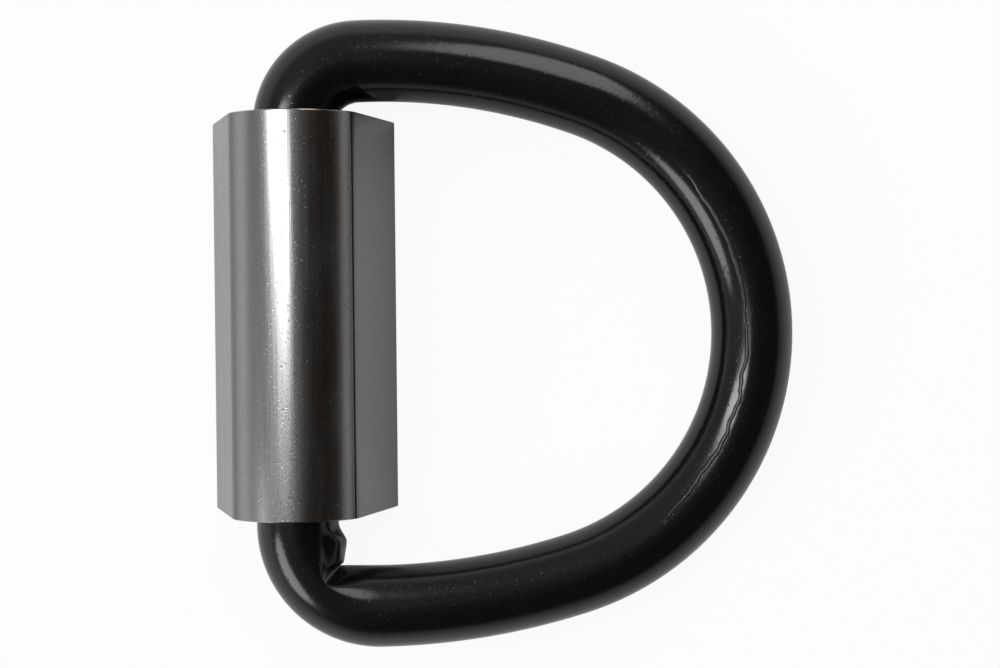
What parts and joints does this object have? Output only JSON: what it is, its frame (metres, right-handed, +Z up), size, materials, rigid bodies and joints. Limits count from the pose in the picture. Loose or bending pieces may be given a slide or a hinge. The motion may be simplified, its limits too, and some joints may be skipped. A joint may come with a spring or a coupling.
{
  "type": "weld-on lashing d-ring",
  "caption": "Heavy round-bar D-shaped ring that swings in a pressed steel strap saddle, whose feet are welded to a deck, frame or rack as a tie-down point.",
  "frame": {"origin": "middle of the saddle's footprint on the weld plane, straight below the ring's bar", "axes": "+Z up out of the weld plane, +Y along the ring's straight side, +X towards the nose of the folded ring"},
  "size_m": [0.0922, 0.098, 0.0212],
  "materials": {
    "ring_coating": "gloss black coating over hot-formed bar",
    "saddle_steel": "bare bright steel, drawn along the bar"
  },
  "bodies": {
    "saddle": {"weld_saddle": "saddle_steel"},
    "ring": {"d_ring": "ring_coating"}
  },
  "joints": [
    {"name": "ring_swing", "type": "hinge", "parent": "saddle", "child": "ring", "pos_m": [-0.0005, 0, 0.0095], "axis": [0, -1, 0], "range_deg": [0, 184.98]}
  ]
}
